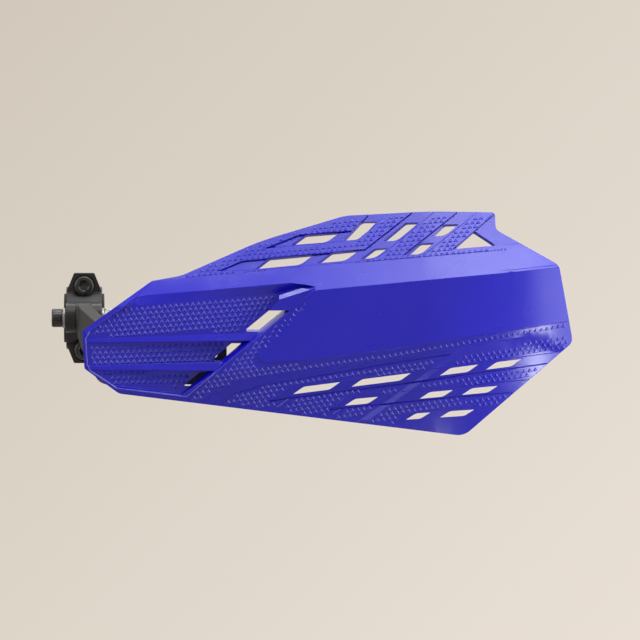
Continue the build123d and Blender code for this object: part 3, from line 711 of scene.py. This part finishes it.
washerForm = {"radius": 5.5, "bore": 3.2, "chamfer": 0.15, "rounding": 0.3}  # millimetres


def washerRings(length):
    # Flat ring with a chamfered bore and a rounded rim
    bore, chamfer, rounding = washerForm["bore"], washerForm["chamfer"], washerForm["rounding"]
    rim = washerForm["radius"] - rounding
    rings = roundRings((bore, chamfer), (bore + chamfer, 0.0))
    rings += arcRings(rim, rounding, rounding, -90, 0) + arcRings(rim, length - rounding, rounding, 0, 90)
    return rings + roundRings((bore + chamfer, length), (bore, length - chamfer))


nutForm = {  # millimetres
    "across": 10.0, "bore": 3.05, "chamfer": 0.4, "coneInset": 0.1, "coneSlope": 0.95,
    "coneSteps": (0.0, 0.15, 0.3, 0.5, 0.75, 1.0),
}


def nutRings(length):
    # Six flats cut back at both ends by a cone, so that each corner ends in a curve
    across, bore, chamfer = nutForm["across"], nutForm["bore"], nutForm["chamfer"]
    steps = np.array(nutForm["coneSteps"])
    cone = across / 2 - nutForm["coneInset"] + nutForm["coneSlope"] * steps
    flats = np.minimum(hexRadius(across), cone[:, None])
    rings = roundRings((bore, chamfer), (bore + chamfer, 0.0)) + list(zip(flats, steps))
    rings += list(zip(flats[::-1], length - steps[::-1]))
    return rings + roundRings((bore + chamfer, length), (bore, length - chamfer))


insertForm = {  # millimetres; the twist is the knurls' turn for each millimetre of height
    "radius": 4.2, "bore": 3.05, "chamfer": 0.3, "rimChamfer": 0.2, "margin": 0.6, "rings": 24,
    "collar": 0.9, "waist": 0.6, "knurls": 12, "knurlDepth": 0.35, "twist": 1.5,
}


def insertRings(length):
    # Sleeve with crossed helical grooves, plain at both collars and at its waist
    bore, chamfer = insertForm["bore"], insertForm["chamfer"]
    rim = insertForm["radius"] - insertForm["rimChamfer"]
    heights = np.linspace(insertForm["margin"], length - insertForm["margin"], insertForm["rings"])
    level = heights[:, None]
    fromMiddle = np.abs(level - length / 2)
    grooved = (fromMiddle > insertForm["waist"]) & (fromMiddle < length / 2 - insertForm["collar"])
    left, right = [np.abs(np.sin(insertForm["knurls"] * around + twist * level))
                   for twist in (insertForm["twist"], -insertForm["twist"])]
    depth = insertForm["knurlDepth"] * np.where(grooved, 1 - np.minimum(left, right), 0.0)
    rings = roundRings((bore, chamfer), (bore + chamfer, 0.0), (rim, 0.0))
    rings += list(zip(insertForm["radius"] - depth, heights))
    return rings + roundRings((rim, length), (bore + chamfer, length), (bore, length - chamfer))


def ringPiece(name, node, rings, bored, axis, way, material, slot):
    # Rings joined to a closed skin, set on the node's axis; round a bore the last ring joins the first
    low, high = [np.array(corner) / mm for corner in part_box(node)]
    length = high[axis] - low[axis]
    radius, height = [np.array(column) for column in zip(*rings(length))]
    along = np.zeros(3)
    along[axis] = way
    first = np.eye(3)[1 - axis]
    second = np.cross(along, first)
    start = (low + high) / 2 - along * length / 2
    outward = np.cos(around)[:, None] * first + np.sin(around)[:, None] * second
    skin = start + height[:, None, None] * along + radius[..., None] * outward
    count, sides = radius.shape
    row = np.arange(count if bored else count - 1)[:, None]
    column = np.arange(sides)
    here, after, beside = row * sides, (row + 1) % count * sides, (column + 1) % sides
    faces = np.stack([here + column, here + beside, after + beside, after + column], axis=-1)
    piece = putMesh(name, skin.reshape(-1, 3) * mm, faces.reshape(-1, 4), material, slot)
    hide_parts(node)


fasteners = {  # node, rings, with a bore, axis (0 outboard, 1 back), way from the head, finish
    "pivotBolt": ("pivot_bolt", capScrew, False, 0, 1, blackSteel),
    "pivotWasherInner": ("pivot_washer_inner", washerRings, True, 0, 1, zincSteel),
    "pivotWasherOuter": ("pivot_washer_outer", washerRings, True, 0, 1, zincSteel),
    "pivotNut": ("pivot_nut", nutRings, True, 0, 1, zincSteel),
    "clampBoltUpper": ("clamp_bolt_upper", capScrew, False, 1, 1, blackSteel),
    "clampBoltLower": ("clamp_bolt_lower", capScrew, False, 1, 1, blackSteel),
    "clampWasherUpper": ("clamp_washer_upper", washerRings, True, 1, 1, zincSteel),
    "clampWasherLower": ("clamp_washer_lower", washerRings, True, 1, 1, zincSteel),
    "clampNutUpper": ("clamp_nut_upper", nutRings, True, 1, 1, zincSteel),
    "clampNutLower": ("clamp_nut_lower", nutRings, True, 1, 1, zincSteel),
    "guardScrewInner": ("guard_screw_inner", buttonScrew, False, 1, -1, blackSteel),
    "guardScrewOuter": ("guard_screw_outer", buttonScrew, False, 1, -1, blackSteel),
    "guardWasherInner": ("guard_washer_inner", washerRings, True, 1, -1, zincSteel),
    "guardWasherOuter": ("guard_washer_outer", washerRings, True, 1, -1, zincSteel),
    "shellInsertInner": ("shell_insert_inner", insertRings, True, 1, -1, insertBrass),
    "shellInsertOuter": ("shell_insert_outer", insertRings, True, 1, -1, insertBrass),
}
for name, (node, rings, bored, axis, way, material) in fasteners.items():
    slot = "insert_brass" if material is insertBrass else "fastener_steel"
    ringPiece(name, node, rings, bored, axis, way, material, slot)
print("fasteners made,", len(fasteners))


# Floor, light and camera, in metres and watts

studio = {
    "floorHeight": -0.24, "floorFull": 0.16, "floorReach": 0.75, "floorSides": 64, "middle": (0.13, -0.05),
    "floorColour": (0.38, 0.345, 0.305), "floorRough": 0.9,
    "ambient": (1.0, 0.96, 0.91), "ambientStrength": 0.27,
    "backdropShade": (0.624, 0.565, 0.485), "backdropLight": (0.838, 0.761, 0.686),
    "backdropFall": 10.5, "backdropSpan": (-0.5, 0.5),
}


def floorMaterial():
    # Paper that thins out with the distance from the middle, so that no edge shows
    material, tree, shader = newMaterial("floorPaper")
    shader.inputs["Base Color"].default_value = (*studio["floorColour"], 1)
    shader.inputs["Roughness"].default_value = studio["floorRough"]
    place = addNode(tree, "ShaderNodeTexCoord").outputs["Object"]
    centre = (*studio["middle"], studio["floorHeight"])
    offset = addNode(tree, "ShaderNodeVectorMath", {0: place, 1: centre}, operation="SUBTRACT")
    away = addNode(tree, "ShaderNodeVectorMath", {0: offset.outputs["Vector"]}, operation="LENGTH")
    inputs = {"Value": away.outputs["Value"], "To Min": 1.0, "To Max": 0.0,
              "From Min": studio["floorFull"], "From Max": studio["floorReach"]}
    paper = addNode(tree, "ShaderNodeMapRange", inputs, interpolation_type="SMOOTHSTEP")
    tree.links.new(paper.outputs["Result"], shader.inputs["Alpha"])
    return material


def floorDisc():
    # One flat face with points all round a circle about the middle
    angle = np.linspace(0, 2 * pi, studio["floorSides"], endpoint=False)
    (x, y), reach = studio["middle"], studio["floorReach"]
    height = np.full_like(angle, studio["floorHeight"])
    mesh = bpy.data.meshes.new("floor")
    edge = np.stack([x + reach * np.cos(angle), y + reach * np.sin(angle), height], axis=-1)
    mesh.from_pydata(edge, [], [list(range(len(edge)))])
    mesh.materials.append(floorMaterial())
    return mesh


floor = bpy.data.objects.new("floor", floorDisc())
bpy.context.scene.collection.objects.link(floor)


def studioWorld():
    # Even light on the object; the pale backdrop is what the camera and reflections see
    world = bpy.data.worlds.new("studioAir")
    world.use_nodes = True
    tree = world.node_tree
    ambient = tree.nodes["Background"]
    ambient.inputs["Color"].default_value = (*studio["ambient"], 1)
    ambient.inputs["Strength"].default_value = studio["ambientStrength"]
    way = addNode(tree, "ShaderNodeTexCoord").outputs["Generated"]
    downhill = (studio["backdropFall"], 0.0, -studio["backdropFall"])
    slope = addNode(tree, "ShaderNodeVectorMath", {0: way, 1: downhill}, operation="DOT_PRODUCT")
    start, end = studio["backdropSpan"]
    inputs = {"Value": slope.outputs["Value"], "From Min": start, "From Max": end}
    blend = addNode(tree, "ShaderNodeMapRange", inputs).outputs["Result"]
    shades = addNode(tree, "ShaderNodeValToRGB", {"Fac": blend})
    shades.color_ramp.elements[0].color = (*studio["backdropShade"], 1)
    shades.color_ramp.elements[1].color = (*studio["backdropLight"], 1)
    backdrop = addNode(tree, "ShaderNodeBackground", {"Color": shades.outputs["Color"], "Strength": 1.0})
    path = addNode(tree, "ShaderNodeLightPath").outputs
    direct = addNode(tree, "ShaderNodeMath", {0: path["Is Camera Ray"], 1: path["Is Glossy Ray"]})
    inputs = {0: direct.outputs["Value"], 1: path["Is Transmission Ray"]}
    seen = addNode(tree, "ShaderNodeMath", inputs, use_clamp=True).outputs["Value"]
    both = addNode(tree, "ShaderNodeMixShader", {0: seen, 1: ambient.outputs[0], 2: backdrop.outputs[0]})
    tree.links.new(both.outputs[0], tree.nodes["World Output"].inputs["Surface"])
    return world


bpy.context.scene.world = studioWorld()

lamps = {  # place, target, width and height, power, spread in degrees
    "overheadBox": ((0.63, -0.35, 1.25), (0.63, -0.25, 0.0), (1.16, 1.0), 20, 180),
    "windowBox": ((1.65, -0.13, 0.05), (0.16, -0.08, 0.0), (2.2, 2.2), 44, 180),
    "sideBox": ((-0.96, -0.46, 0.42), (0.10, -0.08, 0.0), (1.15, 1.1), 8.5, 180),
    "backStrip": ((0.13, 0.62, 1.0), (0.13, -0.05, 0.03), (1.7, 0.5), 8, 180),
    "cornerBox": ((0.482, -0.188, -0.184), (0.25, -0.09, -0.021), (0.07, 0.07), 0.08, 100),
    "bevelStrip": ((0.2185, -0.173, -0.22), (0.2655, -0.085, -0.05), (0.12, 0.04), 0.038, 180),
    "facetBox": ((-0.233, -0.443, 1.104), (0.114, -0.084, 0.0135), (0.22, 0.22), 2.0, 180),
}
for name, (place, target, size, power, spread) in lamps.items():
    lampData = bpy.data.lights.new(name, "AREA")
    lampData.shape = "RECTANGLE"
    lampData.size, lampData.size_y = size
    lampData.energy = power
    lampData.spread = radians(spread)
    lamp = bpy.data.objects.new(name, lampData)
    lamp.location = place
    aim = Vector(target) - Vector(place)
    lamp.rotation_euler = aim.to_track_quat("-Z", "Y").to_euler()
    lamp.visible_camera = False
    bpy.context.scene.collection.objects.link(lamp)

photo = {  # millimetres: what the picture spans at the shell's front, and from how far; clip in metres
    "width": 345.6, "middle": (128.5, -1.1), "distance": 9000.0, "sensor": 36.0, "clip": 100,
}
cameraData = bpy.data.cameras.new("camera")
cameraData.sensor_width = photo["sensor"]
cameraData.lens = photo["sensor"] * photo["distance"] / photo["width"]
cameraData.clip_end = photo["clip"]
camera = bpy.data.objects.new("camera", cameraData)
cameraX, cameraZ = photo["middle"]
camera.location = (cameraX * mm, (guardForm["front"] - photo["distance"]) * mm, cameraZ * mm)
camera.rotation_euler = (radians(90), 0, 0)
bpy.context.scene.collection.objects.link(camera)
bpy.context.scene.camera = camera
bpy.context.scene.view_settings.view_transform = "Standard"
print("floor, lamps and camera set,", len(lamps), "lamps")
